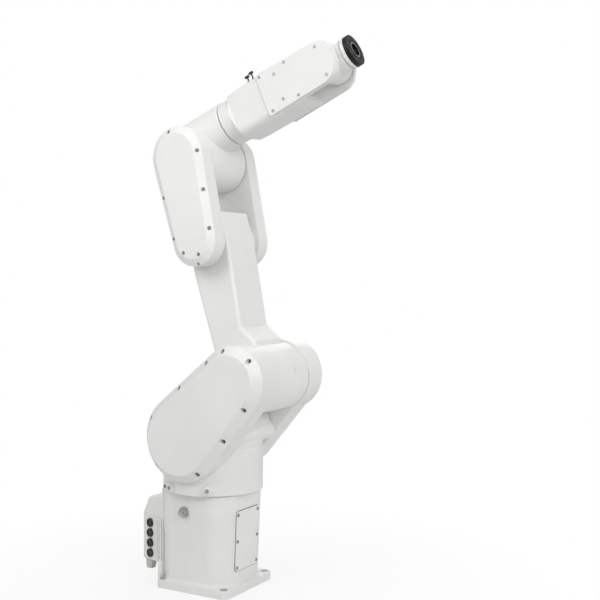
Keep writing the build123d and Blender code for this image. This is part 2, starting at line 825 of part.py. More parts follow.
with BuildPart() as wrist_collar:
    with BuildSketch(forearm_section(forearm_length + collar_start)):
        Circle(collar_radius)
    extrude(amount=collar_thickness)
    fillet(wrist_collar.edges().filter_by(GeomType.CIRCLE).sort_by(Axis.X)[0], collar_edge_round)
wrist_collar.part.label = "wrist_collar"
export_step(wrist_collar.part, "parts/wrist_collar.step")

flange_back = collar_start + collar_thickness + seat_gap
with BuildPart() as tool_flange:
    with BuildSketch(forearm_section(forearm_length + flange_back)):
        Circle(flange_radius)
    extrude(amount=flange_reach - flange_back)
    with BuildSketch(forearm_section(forearm_length + flange_reach)):
        Circle(flange_bore_radius)
    extrude(amount=-flange_bore_depth, mode=Mode.SUBTRACT)
    with BuildSketch(forearm_section(forearm_length + flange_reach)):
        with PolarLocations(flange_bolt_circle / 2, flange_hole_count, start_angle=45):
            Circle(flange_hole_radius)
    extrude(amount=-flange_hole_depth, mode=Mode.SUBTRACT)
tool_flange.part.label = "tool_flange"
export_step(tool_flange.part, "parts/tool_flange.step")
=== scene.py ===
"""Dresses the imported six-axis robot arm: paint, screws, seams, connectors and a plain studio."""

import json
from math import asin, atan2, cos, pi, radians, sin

import bpy
from bpy.props import FloatProperty, FloatVectorProperty, IntProperty, PointerProperty
from mathutils import Matrix, Vector


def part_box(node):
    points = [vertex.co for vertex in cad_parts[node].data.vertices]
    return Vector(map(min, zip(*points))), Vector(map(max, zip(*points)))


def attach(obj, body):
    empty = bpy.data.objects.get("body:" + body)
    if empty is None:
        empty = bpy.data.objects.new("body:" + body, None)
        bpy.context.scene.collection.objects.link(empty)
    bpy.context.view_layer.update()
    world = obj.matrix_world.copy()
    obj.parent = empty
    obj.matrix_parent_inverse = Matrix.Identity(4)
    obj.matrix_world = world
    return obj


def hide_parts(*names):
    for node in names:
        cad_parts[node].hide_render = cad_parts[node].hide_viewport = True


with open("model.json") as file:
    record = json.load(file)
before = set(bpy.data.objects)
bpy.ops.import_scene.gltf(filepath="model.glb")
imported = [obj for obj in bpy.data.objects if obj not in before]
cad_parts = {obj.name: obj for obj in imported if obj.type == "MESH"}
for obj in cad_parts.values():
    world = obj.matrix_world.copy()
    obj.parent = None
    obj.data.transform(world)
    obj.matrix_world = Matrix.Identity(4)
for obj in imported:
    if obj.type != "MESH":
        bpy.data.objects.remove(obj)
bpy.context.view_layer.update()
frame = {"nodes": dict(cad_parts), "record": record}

bl_info = {
    "name": "Robot Arm Dressing",
    "version": (1, 0, 0),
    "blender": (4, 5, 0),
    "location": "View3D > Sidebar > Robot Arm",
    "description": "Adds the screws, seams, connector details and finishes of a six-axis arm",
    "category": "Object",
}

MM = 0.001
SMOOTH_ANGLE = radians(35)
SIDES = (("near", 1), ("far", -1))

# Joint layout at rest, in metres
SHOULDER = (0.150, 0.544)
LEAN = radians(17.6)
RISE = radians(22.7)
LOWER_ARM = 0.575
ELBOW = (SHOULDER[0] - LOWER_ARM * sin(LEAN), SHOULDER[1] + LOWER_ARM * cos(LEAN))
ROLL_LIFT = 0.058
WRIST_REACH = 0.420
FLANGE_REACH = 0.075
ALONG_FOREARM = (cos(RISE), 0.0, sin(RISE))
UP_FROM_FOREARM = (-sin(RISE), 0.0, cos(RISE))

# Covers: ends of the elbow cover's path from the shoulder axis, and how far out the screws sit
ELBOW_COVER_LOW = (-0.016, 0.365)
ELBOW_COVER_HIGH = (-0.002, 0.581)
ELBOW_SEAT = 0.120
WRIST_COVER_FACE = 0.0575

# Front of the base casting: its place over the foot, and its lean of 8 in 229
BASE_FRONT = 0.096
FOOT_TOP = 0.020
FRONT_LEAN = (8.0, 229.0)


def on_side(origin, angle, along, up, depth):
    """A point of a tilted side plane, with depth along -Y."""
    return Vector((
        origin[0] + along * cos(angle) - up * sin(angle),
        -depth,
        origin[1] + along * sin(angle) + up * cos(angle),
    ))


def on_forearm(reach, lift, aside):
    """A point by its reach and lift from the elbow axis, and its place across the forearm along +Y."""
    return on_side(ELBOW, RISE, reach, lift, -aside)


def turned(z_axis, x_hint=(1, 0, 0)):
    """A rotation whose z axis is the one given."""
    z_axis = Vector(z_axis).normalized()
    x_axis = Vector(x_hint) - z_axis * Vector(x_hint).dot(z_axis)
    x_axis.normalize()
    y_axis = z_axis.cross(x_axis)
    return Matrix((x_axis, y_axis, z_axis)).transposed().to_4x4()


def on_circle(centre, radius, degrees):
    """A point of a circle in a side plane."""
    return centre[0] + radius * cos(radians(degrees)), centre[1] + radius * sin(radians(degrees))


def rim_points(low, low_radius, high, high_radius, low_turns, high_turns, rear_shares, front_shares):
    """Screw places on a path round a capsule: about both ends and along its straight sides."""
    along = Vector(high) - Vector(low)
    tilt = asin((low_radius - high_radius) / along.length)
    points = [on_circle(low, low_radius, turn) for turn in low_turns]
    points += [on_circle(high, high_radius, turn) for turn in high_turns]
    heading = atan2(along.y, along.x)
    for shares, normal in ((rear_shares, heading + pi / 2 - tilt), (front_shares, heading - pi / 2 + tilt)):
        for share in shares:
            radius = low_radius + share * (high_radius - low_radius)
            points.append((
                low[0] + share * along.x + radius * cos(normal),
                low[1] + share * along.y + radius * sin(normal),
            ))
    return points


# ---------------------------------------------------------------- sizes and colours

class ArmScrewSettings(bpy.types.PropertyGroup):
    """Sizes of the screws on the covers."""

    shoulder_head: FloatProperty(
        name="Shoulder screw head", description="Radius of the screw heads on the shoulder covers",
        default=4.3 * MM, unit="LENGTH")
    elbow_head: FloatProperty(
        name="Elbow screw head", description="Radius of the screw heads on the elbow covers",
        default=3.9 * MM, unit="LENGTH")
    forearm_head: FloatProperty(
        name="Forearm screw head", description="Radius of the screw heads on the forearm covers",
        default=3.9 * MM, unit="LENGTH")
    access_head: FloatProperty(
        name="Access cover screw head", description="Radius of the screw heads on the front access cover",
        default=4.2 * MM, unit="LENGTH")


class ArmDetailSettings(bpy.types.PropertyGroup):
    """Sizes of the trim on the base."""

    # The seam is a near-black frame of painted shade laid in the access cover's joint.
    seam_width: FloatProperty(
        name="Seam width", description="Width of the dark joint round the access cover",
        default=1.5 * MM, unit="LENGTH")
    ring_teeth: IntProperty(
        name="Ring teeth", description="Grip teeth round each connector's ring", default=20, min=8, max=40)
    strip_ribs: IntProperty(
        name="Strip ribs", description="Ribs on the marking strip beside the connectors",
        default=17, min=6, max=40)


class ArmFinishSettings(bpy.types.PropertyGroup):
    """Colours of the finishes."""

    paint: FloatVectorProperty(
        name="Casting paint", description="Colour of the painted castings",
        default=(0.845, 0.845, 0.836), size=3, subtype="COLOR")
    cover: FloatVectorProperty(
        name="Cover paint", description="Colour of the painted covers",
        default=(0.860, 0.860, 0.851), size=3, subtype="COLOR")
    socket: FloatVectorProperty(
        name="Socket plastic", description="Colour of the power socket",
        default=(0.62, 0.585, 0.55), size=3, subtype="COLOR")


# ---------------------------------------------------------------- shader building

class Socket:
    """Wraps a node socket so that a product reads as an expression."""

    def __init__(self, shader, socket):
        self.shader = shader
        self.socket = socket

    def __mul__(self, other):
        return self.shader.node("ShaderNodeMath", {"operation": "MULTIPLY"}, {0: self, 1: other})

    __rmul__ = __mul__


class Finish:
    """A material and the nodes that make it."""

    def __init__(self, name, **constants):
        self.material = bpy.data.materials.new(name)
        self.material.use_nodes = True
        self.tree = self.material.node_tree
        self.surface = self.tree.nodes["Principled BSDF"]
        self.coords = self.node("ShaderNodeTexCoord", output="Object")
        for socket, value in constants.items():
            self.surface.inputs[socket.replace("_", " ")].default_value = value

    def node(self, kind, settings=None, inputs=None, output=0):
        """Adds a node, sets it up, feeds its sockets and hands back one output."""
        made = self.tree.nodes.new(kind)
        for key, value in (settings or {}).items():
            if key == "stops":
                ramp = made.color_ramp
                while len(ramp.elements) < len(value):
                    ramp.elements.new(0.5)
                for element, (place, colour) in zip(ramp.elements, value):
                    element.position = place
                    element.color = (*colour, 1.0)
            else:
                setattr(made, key, value)
        for key, value in (inputs or {}).items():
            self.feed(made.inputs[key], value)
        return Socket(self, made.outputs[output])

    def feed(self, target, value):
        """Links a wrapped socket to a target, or writes a plain value in it."""
        if isinstance(value, Socket):
            self.tree.links.new(value.socket, target)
        else:
            target.default_value = value

    def noise(self, scale, detail=3.0, roughness=0.5):
        """A noise pattern on object coordinates."""
        return self.node(
            "ShaderNodeTexNoise", {"noise_dimensions": "3D"},
            {"Vector": self.coords, "Scale": scale, "Detail": detail, "Roughness": roughness})

    def ramp(self, value, *stops):
        """Numbers or colours by stops along a value."""
        colours = [(place, (c, c, c) if isinstance(c, (int, float)) else c) for place, c in stops]
        return self.node("ShaderNodeValToRGB", {"stops": colours}, {"Fac": value})

    def mix(self, factor, first, second):
        """Mixes two colours."""
        return self.node(
            "ShaderNodeMix", {"data_type": "RGBA"},
            {"Factor": factor, "A": self._rgba(first), "B": self._rgba(second)}, output="Result")

    @staticmethod
    def _rgba(colour):
        return colour if isinstance(colour, Socket) else (*colour, 1.0)

    def bump(self, height, distance, strength=1.0, normal=None):
        """A bump from a height, laid over an earlier normal where one is given."""
        inputs = {"Height": height, "Distance": distance, "Strength": strength}
        if normal:
            inputs["Normal"] = normal
        return self.node("ShaderNodeBump", {}, inputs, output="Normal")

    def soft_edge(self, radius):
        """A normal that rounds the sharp edges of a casting."""
        return self.node("ShaderNodeBevel", {"samples": 6}, {"Radius": radius}, output="Normal")

    def to(self, **links):
        """Feeds the surface's own sockets."""
        for socket, value in links.items():
            self.feed(self.surface.inputs[socket.replace("_", " ")], value)
        return self.material


def paint_finish(name, colour, edge, grain=1.0):
    """Satin powder paint: fine peel, faint cloudy tone changes and a little dust."""
    finish = Finish(name, Specular_IOR_Level=0.42)
    cloud = finish.noise(5.0, 4.0, 0.55)
    fleck = finish.noise(420.0, 2.0, 0.6)
    dusty = tuple(c * f for c, f in zip(colour, (0.955, 0.95, 0.935)))
    bright = tuple(min(c * 1.02, 0.9) for c in colour)
    shade = finish.mix(finish.ramp(cloud, (0.35, 0.0), (0.68, 1.0)), dusty, bright)
    shade = finish.mix(finish.ramp(fleck, (0.60, 0.0), (0.78, 0.10)), shade, tuple(c * 0.80 for c in colour))
    rough = finish.ramp(finish.noise(22.0, 3.0), (0.3, 0.36), (0.7, 0.46))
    peel = finish.bump(finish.noise(950.0 * grain, 2.0, 0.5), 0.00012, 0.22, finish.soft_edge(edge))
    return finish.to(Base_Color=shade, Roughness=rough, Normal=peel)


def plastic_finish(name, colour, roughness=0.5):
    """Moulded plastic with a fine grain."""
    speck = 0.08
    finish = Finish(name, Specular_IOR_Level=0.45)
    grain = finish.noise(900.0, 2.0)
    light = tuple(min(1.0, c * (1 + speck) + 0.004) for c in colour)
    dark = tuple(c * (1 - speck) for c in colour)
    rough = finish.ramp(finish.noise(60.0), (0.3, roughness - 0.06), (0.7, roughness + 0.08))
    return finish.to(
        Base_Color=finish.mix(finish.noise(35.0, 3.0), dark, light),
        Roughness=rough,
        Normal=finish.bump(grain, 0.0001, 0.35))


def steel_finish(name, colour, roughness=0.32, metallic=1.0, scale=1.0):
    """Machined steel with fine tool marks and slight staining."""
    finish = Finish(name, Metallic=metallic)
    marks = finish.noise(700.0 * scale, 2.0, 0.6)
    stain = finish.noise(45.0, 4.0)
    dull = tuple(c * 0.72 for c in colour)
    rough = finish.ramp(stain, (0.3, roughness - 0.06), (0.72, roughness + 0.14))
    return finish.to(
        Base_Color=finish.mix(finish.ramp(stain, (0.35, 0.0), (0.75, 1.0)), colour, dull),
        Roughness=rough,
        Normal=finish.bump(marks, 0.00008, 0.4))


def turned_finish(name, colour, centre, turn):
    """Black oxide on a turned face: rings about the wrist axis."""
    finish = Finish(name, Metallic=0.35, Specular_IOR_Level=0.4)
    about = finish.node(
        "ShaderNodeMapping", {"vector_type": "TEXTURE"},
        {"Vector": finish.coords, "Location": centre, "Rotation": turn})
    rings = finish.node(
        "ShaderNodeTexWave", {"wave_type": "RINGS", "rings_direction": "Z"},
        {"Vector": about, "Scale": 260.0, "Distortion": 0.6, "Detail": 1.0})
    worn = finish.noise(60.0, 4.0)
    tone = finish.mix(finish.ramp(worn, (0.4, 0.0), (0.75, 1.0)), colour, tuple(c * 1.7 for c in colour))
    rough = finish.ramp(worn, (0.3, 0.38), (0.7, 0.52))
    marks = finish.bump(rings, 0.00005, 0.35, finish.soft_edge(0.0006))
    return finish.to(Base_Color=tone, Roughness=rough, Normal=marks)


FINISHES = {}


def finishes():
    """The materials, made once, by what they are on."""
    if not FINISHES:
        colours = bpy.context.scene.arm_finish
        wrist_turn = (0.0, pi / 2 - RISE, 0.0)
        flange = on_forearm(WRIST_REACH + FLANGE_REACH, ROLL_LIFT, 0.0)
        FINISHES.update(
            casting=paint_finish("casting_paint", tuple(colours.paint), 0.0022),
            cover=paint_finish("cover_paint", tuple(colours.cover), 0.0018, 1.15),
            plug=plastic_finish("connector_black", (0.022, 0.022, 0.024), 0.42),
            socket=plastic_finish("socket_brown", tuple(colours.socket), 0.5),
            rubber=plastic_finish("seal_rubber", (0.11, 0.11, 0.112), 0.68),
            fitting=steel_finish("fitting_steel", (0.62, 0.62, 0.62), 0.26, 0.85),
            screw=steel_finish("screw_dark_zinc", (0.40, 0.40, 0.404), 0.40, 0.45, 1.4),
            zinc=steel_finish("screw_zinc", (0.36, 0.36, 0.355), 0.34, 0.9, 1.4),
            # Painted shade: the near-black frame in the access cover's joint.
            gap=plastic_finish("joint_shadow", (0.05, 0.05, 0.05), 0.8),
            # Painted shade: the grey strip in the joint of the housing and the column.
            strip=plastic_finish("housing_shade_grey", (0.42, 0.42, 0.415), 0.55),
            label=plastic_finish("label_white", (0.74, 0.74, 0.73), 0.55),
            bright=steel_finish("nut_steel", (0.62, 0.62, 0.62), 0.28, 0.9),
            # Machined hole seats, dark as painted shade of the foot's holes.
            seat=steel_finish("hole_shade_seat_steel", (0.20, 0.20, 0.20), 0.4, 0.85),
            worn=steel_finish("flange_worn_edge", (0.34, 0.34, 0.345), 0.28, 0.9),
            flange=turned_finish("flange_black_oxide", (0.011, 0.011, 0.012), tuple(flange), wrist_turn),
        )
    return FINISHES


# ---------------------------------------------------------------- modelling helpers

def clear_selection():
    """Object mode with nothing selected."""
    if bpy.context.object and bpy.context.object.mode != "OBJECT":
        bpy.ops.object.mode_set(mode="OBJECT")
    bpy.ops.object.select_all(action="DESELECT")


def pick(piece, part, test):
    """Selects only the faces, edges or points of a piece that pass a test, then enters edit mode."""
    bpy.ops.object.mode_set(mode="OBJECT")
    mesh = piece.data
    for group in (mesh.polygons, mesh.edges, mesh.vertices):
        group.foreach_set("select", [False] * len(group))
    if part == "FACE":
        found = [face for face in mesh.polygons if test(face.center, face.normal)]
    elif part == "EDGE":
        found = [e for e in mesh.edges if all(test(mesh.vertices[v].co) for v in e.vertices)]
    else:
        found = [v for v in mesh.vertices if test(v.co)]
    if not found:
        raise RuntimeError(f"nothing to select on {piece.name}")
    for item in found:
        item.select = True
    bpy.ops.object.mode_set(mode="EDIT")
    bpy.ops.mesh.select_mode(type=part)


def done(piece, body, finish):
    """Applies a mesh's transforms, smooths it, gives it its finish and lets it ride."""
    clear_selection()
    piece.select_set(True)
    bpy.context.view_layer.objects.active = piece
    bpy.ops.object.transform_apply(location=True, rotation=True, scale=True)
    bpy.ops.object.shade_smooth_by_angle(angle=SMOOTH_ANGLE)
    piece.data.materials.clear()
    piece.data.materials.append(finish)
    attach(piece, body)


def copies(master, name, places):
    """Copies of a master at the given matrices, each with its own mesh, joined in one piece."""
    made = []
    for place in places:
        copy = bpy.data.objects.new(name, master.data.copy())
        copy.data.transform(place)
        bpy.context.scene.collection.objects.link(copy)
        made.append(copy)
    clear_selection()
    for copy in made:
        copy.select_set(True)
    bpy.context.view_layer.objects.active = made[0]
    if len(made) > 1:
        bpy.ops.object.join()
    made[0].name = name
    return made[0]


def discard(master):
    """Removes a master once its copies are made."""
    bpy.data.objects.remove(master, do_unlink=True)


def placed(master, name, places, body, finish):
    """Copies of a master as one finished piece. The master is removed."""
    piece = copies(master, name, places)
    discard(master)
    done(piece, body, finishes()[finish])


def crown(piece, inset, rise):
    """Draws the top face of a piece in and up, and stays in edit mode."""
    pick(piece, "FACE", lambda c, n: n.z > 0.9)
    bpy.ops.mesh.inset(thickness=inset)
    bpy.ops.transform.translate(value=(0, 0, rise))


def stepped(piece, side, *steps):
    """Insets and extrudes the top (side 1) or bottom (side -1) face, once for each inset and move."""
    pick(piece, "FACE", lambda c, n: n.z * side > 0.9)
    for inset, move in steps:
        bpy.ops.mesh.inset(thickness=inset)
        bpy.ops.mesh.extrude_region_move(TRANSFORM_OT_translate={"value": (0, 0, move)})
    bpy.ops.object.mode_set(mode="OBJECT")


def socket_screw(radius, height, seat=0.0):
    """A socket head screw that stands on z = 0 with its hexagon recess up."""
    clear_selection()
    bpy.ops.mesh.primitive_cylinder_add(
        vertices=32, radius=radius, depth=height + seat, location=(0, 0, (height - seat) / 2))
    screw = bpy.context.object
    bpy.ops.object.transform_apply(location=True, rotation=True, scale=True)
    chamfer = radius * 0.10
    top = height + chamfer
    crown(screw, chamfer, chamfer)
    bpy.ops.mesh.inset(thickness=radius * 0.22)
    bpy.ops.mesh.delete(type="ONLY_FACE")
    bpy.ops.mesh.primitive_circle_add(vertices=6, radius=radius * 0.52, location=(0, 0, top))
    slack = radius * 0.02
    pick(screw, "EDGE", lambda co: abs(co.z - top) < slack and co.xy.length < radius * 0.70)
    bpy.ops.mesh.bridge_edge_loops()
    pick(screw, "EDGE", lambda co: abs(co.z - top) < slack and co.xy.length < radius * 0.56)
    bpy.ops.mesh.extrude_region_move(TRANSFORM_OT_translate={"value": (0, 0, -height * 0.62)})
    bpy.ops.mesh.edge_face_add()
    bpy.ops.mesh.select_all(action="SELECT")
    bpy.ops.mesh.normals_make_consistent(inside=False)
    bpy.ops.object.mode_set(mode="OBJECT")
    return screw


def flat_ring(outer, inner, depth, vertices=64):
    """A flat ring about the z axis, centred on z = 0."""
    clear_selection()
    bpy.ops.mesh.primitive_cylinder_add(vertices=vertices, radius=outer, depth=depth)
    ring = bpy.context.object
    pick(ring, "FACE", lambda c, n: abs(n.z) > 0.9)
    bpy.ops.mesh.inset(thickness=outer - inner)
    bpy.ops.mesh.delete(type="FACE")
    pick(ring, "EDGE", lambda co: co.xy.length < inner + (outer - inner) * 0.3)
    bpy.ops.mesh.bridge_edge_loops()
    bpy.ops.mesh.select_all(action="SELECT")
    bpy.ops.mesh.normals_make_consistent(inside=False)
    bpy.ops.object.mode_set(mode="OBJECT")
    return ring


def round_pin(radius, low, high, edge, vertices=32):
    """A pin along the z axis whose upper rim is rounded."""
    clear_selection()
    bpy.ops.mesh.primitive_cylinder_add(
        vertices=vertices, radius=radius, depth=high - low, location=(0, 0, (low + high) / 2))
    pin = bpy.context.object
    bpy.ops.object.transform_apply(location=True, rotation=True, scale=True)
    pick(pin, "EDGE", lambda co: co.z > high - edge * 0.1)
    bpy.ops.mesh.bevel(offset=edge, segments=3)
    bpy.ops.object.mode_set(mode="OBJECT")
    return pin


def plain_block(size, centre=(0.0, 0.0, 0.0)):
    """A block with sharp edges."""
    clear_selection()
    bpy.ops.mesh.primitive_cube_add(size=1.0, location=centre)
    block = bpy.context.object
    block.scale = size
    bpy.ops.object.transform_apply(location=True, rotation=True, scale=True)
    return block


def soft_block(size, centre, edge, segments=3):
    """A block with all its edges rounded."""
    block = plain_block(size, centre)
    pick(block, "EDGE", lambda co: True)
    bpy.ops.mesh.bevel(offset=edge, segments=segments)
    bpy.ops.object.mode_set(mode="OBJECT")
    return block


def joined(name, pieces):
    """Several pieces of one finish joined in one."""
    clear_selection()
    for piece in pieces:
        piece.select_set(True)
    bpy.context.view_layer.objects.active = pieces[0]
    bpy.ops.object.join()
    pieces[0].name = name
    return pieces[0]


def report_done(operator, text):
    """Says what an operator made and ends it well."""
    operator.report({"INFO"}, text)
    return {"FINISHED"}


# ---------------------------------------------------------------- operators

class ARM_OT_stage(bpy.types.Operator):
    """Sets up the camera, the floor, the backdrop and the lamps"""

    bl_idname = "arm.stage"
    bl_label = "Studio"

    def execute(self, context):
        scene = context.scene
        scene.view_settings.view_transform = "Standard"
        camera = bpy.data.objects.new("camera", bpy.data.cameras.new("camera"))
        camera.data.lens = 60.0
        camera.data.sensor_width = 36.0
        camera.location = (1.50558, -2.12521, 0.79841)
        camera.rotation_euler = (radians(90.0 - 1.35), 0.0, radians(30.41))
        scene.collection.objects.link(camera)
        scene.camera = camera

        world = bpy.data.worlds.new("studio")
        scene.world = world
        world.use_nodes = True
        tree = world.node_tree
        sky = tree.nodes["Background"]
        sky.inputs["Color"].default_value = (1.0, 1.0, 1.0, 1.0)
        sky.inputs["Strength"].default_value = 0.52
        plain = tree.nodes.new("ShaderNodeBackground")
        plain.inputs["Color"].default_value = (1.0, 1.0, 1.0, 1.0)
        plain.inputs["Strength"].default_value = 1.0
        path = tree.nodes.new("ShaderNodeLightPath")
        seen = tree.nodes.new("ShaderNodeMath")
        seen.operation = "MAXIMUM"
        tree.links.new(path.outputs["Is Camera Ray"], seen.inputs[0])
        tree.links.new(path.outputs["Is Transmission Ray"], seen.inputs[1])
        choice = tree.nodes.new("ShaderNodeMixShader")
        tree.links.new(seen.outputs[0], choice.inputs["Fac"])
        tree.links.new(sky.outputs[0], choice.inputs[1])
        tree.links.new(plain.outputs[0], choice.inputs[2])
        tree.links.new(choice.outputs[0], tree.nodes["World Output"].inputs["Surface"])

        clear_selection()
        bpy.ops.mesh.primitive_plane_add(size=40.0, location=(0.0, 0.0, -0.0005))
        floor = context.object
        floor.name = "floor"
        finish = Finish("floor_white", Roughness=0.85, Specular_IOR_Level=0.1)
        cloud = finish.noise(0.6, 2.0)
        finish.to(Base_Color=finish.mix(cloud, (0.86, 0.86, 0.86), (0.88, 0.88, 0.88)))
        glow = finish.tree.nodes.new("ShaderNodeEmission")
        glow.inputs["Strength"].default_value = 1.0
        view = finish.tree.nodes.new("ShaderNodeLightPath")
        blend = finish.tree.nodes.new("ShaderNodeMixShader")
        away = finish.node(
            "ShaderNodeVectorMath", {"operation": "LENGTH"}, {"Vector": finish.coords}, output="Value")
        camera_ray = Socket(finish, view.outputs["Is Camera Ray"])
        share = finish.ramp(away * 0.5, (0.08, 0.80), (0.45, 1.0)) * camera_ray
        finish.feed(blend.inputs["Fac"], share)
        finish.tree.links.new(finish.surface.outputs[0], blend.inputs[1])
        finish.tree.links.new(glow.outputs[0], blend.inputs[2])
        finish.tree.links.new(blend.outputs[0], finish.tree.nodes["Material Output"].inputs["Surface"])
        floor.data.materials.append(finish.material)

        lamps = (
            ("key_lamp", (-0.5, -1.95, 2.2), (0.05, 0.0, 1.10), 1.8, 4.1, 66.0),
            ("fill_lamp", (2.4, -0.9, 2.0), (0.1, 0.0, 1.10), 2.0, 7.0, 72.0),
            ("top_lamp", (0.3, 0.5, 3.6), (0.1, 0.0, 0.8), 2.4, 6.0, 180.0),
            ("rear_lamp", (-1.2, 2.3, 2.0), (0.0, 0.0, 0.8), 2.2, 6.0, 90.0),
        )
        for name, place, target, size, power, spread in lamps:
            lamp = bpy.data.objects.new(name, bpy.data.lights.new(name, "AREA"))
            lamp.data.shape = "DISK"
            lamp.data.size = size
            lamp.data.energy = power
            lamp.data.spread = radians(spread)
            lamp.location = place
            lamp.rotation_euler = (Vector(target) - Vector(place)).to_track_quat("-Z", "Y").to_euler()
            scene.collection.objects.link(lamp)
        return report_done(self, "studio ready")


class ARM_OT_finishes(bpy.types.Operator):
    """Gives every casting, cover and fitting of the frame its finish"""

    bl_idname = "arm.finishes"
    bl_label = "Paint and Plating"

    def execute(self, context):
        made = finishes()
        by_slot = {
            "arm_paint": "casting", "cover_paint": "cover", "black_plastic": "plug", "bare_metal": "fitting",
            "socket_plastic": "socket", "seal_rubber": "rubber", "flange_steel": "flange",
        }
        slots = {part["node"]: part["material_slot"] for part in frame["record"]["subparts"]}
        for name, node in frame["nodes"].items():
            finish = made[by_slot[slots[name]]]
            if name == "wrist_collar":
                finish = made["cover"]
            if node.data.materials:
                for index in range(len(node.data.materials)):
                    node.data.materials[index] = finish
            else:
                node.data.materials.append(finish)
        return report_done(self, "finishes on")


class ARM_OT_shoulder_screws(bpy.types.Operator):
    """Seats the screws in the pockets of both shoulder covers"""

    bl_idname = "arm.shoulder_screws"
    bl_label = "Shoulder Cover Screws"

    def execute(self, context):
        radius = context.scene.arm_screws.shoulder_head
        for name, side, low_radius, high_radius, seat in (
            ("near", 1, 0.098, 0.076, 0.137), ("far", -1, 0.090, 0.072, 0.145),
        ):
            points = rim_points(
                low=(-0.001, 0.395), low_radius=low_radius, high=SHOULDER, high_radius=high_radius,
                low_turns=(-56.0, -135.0, 151.0), high_turns=(105.0, 44.0, -56.0),
                rear_shares=(0.38, 0.88), front_shares=(0.42,))
            outward = turned((0, -side, 0))
            places = [Matrix.Translation((x, -side * seat, z)) @ outward for x, z in points]
            master = socket_screw(radius, radius * 1.15, 0.0006)
            placed(master, f"{name}_shoulder_screws", places, "turret", "screw")
        return report_done(self, "shoulder screws seated")


class ARM_OT_elbow_screws(bpy.types.Operator):
    """Seats the screws in the pockets of both elbow covers and the plug at the near cover's low end"""

    bl_idname = "arm.elbow_screws"
    bl_label = "Elbow Cover Screws"

    def execute(self, context):
        radius = context.scene.arm_screws.elbow_head
        points = rim_points(
            low=ELBOW_COVER_LOW, low_radius=0.054, high=ELBOW_COVER_HIGH, high_radius=0.066,
            low_turns=(), high_turns=(92.0, -8.0), rear_shares=(0.1, 0.6), front_shares=(0.09, 0.54))
        points += [on_circle(ELBOW_COVER_LOW, 0.040, turn) for turn in (-77.0, -147.0)]
        for name, side in SIDES:
            outward = turned((0, -side, 0))
            seats = [on_side(SHOULDER, LEAN, x, y, side * ELBOW_SEAT) for x, y in points]
            places = [Matrix.Translation(seat) @ outward for seat in seats]
            master = socket_screw(radius, radius * 1.1)
            placed(master, f"{name}_elbow_screws", places, "lower_arm", "screw")

        # The plug faces down and out, and sits where a line from outside first meets the near cover
        depth = 0.1195
        spot = on_side(SHOULDER, LEAN, *on_circle(ELBOW_COVER_LOW, 0.0555, -92.0), depth)
        radial = spot - on_side(SHOULDER, LEAN, *ELBOW_COVER_LOW, depth)
        slant = (radial.normalized() + Vector((0, -1, 0))).normalized()
        found, spot = frame["nodes"]["near_elbow_cover"].ray_cast(spot + slant * 0.04, -slant)[:2]
        if not found:
            raise RuntimeError("the plug meets no elbow cover")
        master = socket_screw(radius * 0.85, radius * 0.5)
        place = Matrix.Translation(spot) @ turned(slant)
        placed(master, "elbow_drain_plug", [place], "lower_arm", "screw")
        return report_done(self, "elbow screws seated")


class ARM_OT_forearm_screws(bpy.types.Operator):
    """Seats the screws of both forearm covers"""

    bl_idname = "arm.forearm_screws"
    bl_label = "Forearm Cover Screws"

    def execute(self, context):
        radius = context.scene.arm_screws.forearm_head
        spots = ((258, 101), (299, 88), (335, 101), (424, 93), (428, 17), (342, 9), (300, 20.5), (263, 7))
        for name, side in SIDES:
            outward = turned((0, -side, 0))
            seats = [on_side(ELBOW, RISE, s * MM, t * MM, side * WRIST_COVER_FACE) for s, t in spots]
            places = [Matrix.Translation(seat) @ outward for seat in seats]
            master = socket_screw(radius, 0.0007)
            placed(master, f"{name}_wrist_cover_screws", places, "forearm", "zinc")
        return report_done(self, "forearm screws seated")


